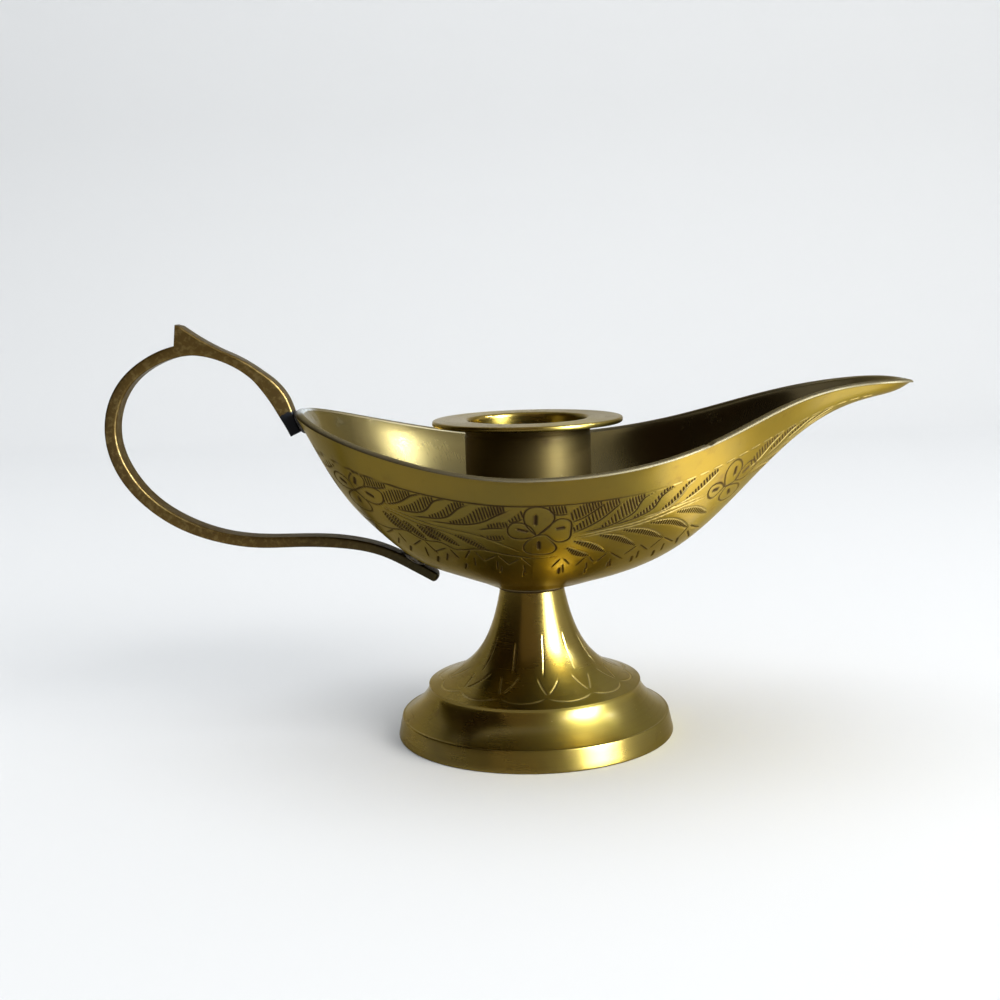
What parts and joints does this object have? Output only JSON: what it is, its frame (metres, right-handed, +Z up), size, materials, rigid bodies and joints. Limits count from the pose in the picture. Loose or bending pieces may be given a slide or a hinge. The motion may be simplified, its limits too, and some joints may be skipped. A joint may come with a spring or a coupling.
{
  "type": "genie lamp candle holder",
  "caption": "Brass candle holder shaped like an oil lamp: open boat-shaped bowl with a spout and a strap handle, flanged candle socket inside, on a turned trumpet foot.",
  "frame": {"origin": "on the ground, under the middle of the lamp's overall length and on its plane of symmetry", "axes": "+X towards the spout along the lamp's length, +Y to its left, +Z up"},
  "size_m": [0.1508, 0.072, 0.0795],
  "materials": {
    "engraved_brass": "aged, satin, hand engraved with darkened cuts",
    "turned_brass": "aged, satin, with fine turning lines",
    "cast_brass": "cast and filed, aged, dark at the joints",
    "braze_metal": "dull grey, fire-scaled",
    "fixing_steel": "plain zinc grey"
  },
  "bodies": {
    "root": {"bowl": "engraved_brass", "candle_socket": "turned_brass", "foot": "turned_brass", "handle": "cast_brass", "upper_braze": "braze_metal", "lower_braze": "braze_metal", "stem_stud": "fixing_steel", "stud_washer": "fixing_steel", "stud_nut": "fixing_steel"}
  },
  "joints": []
}
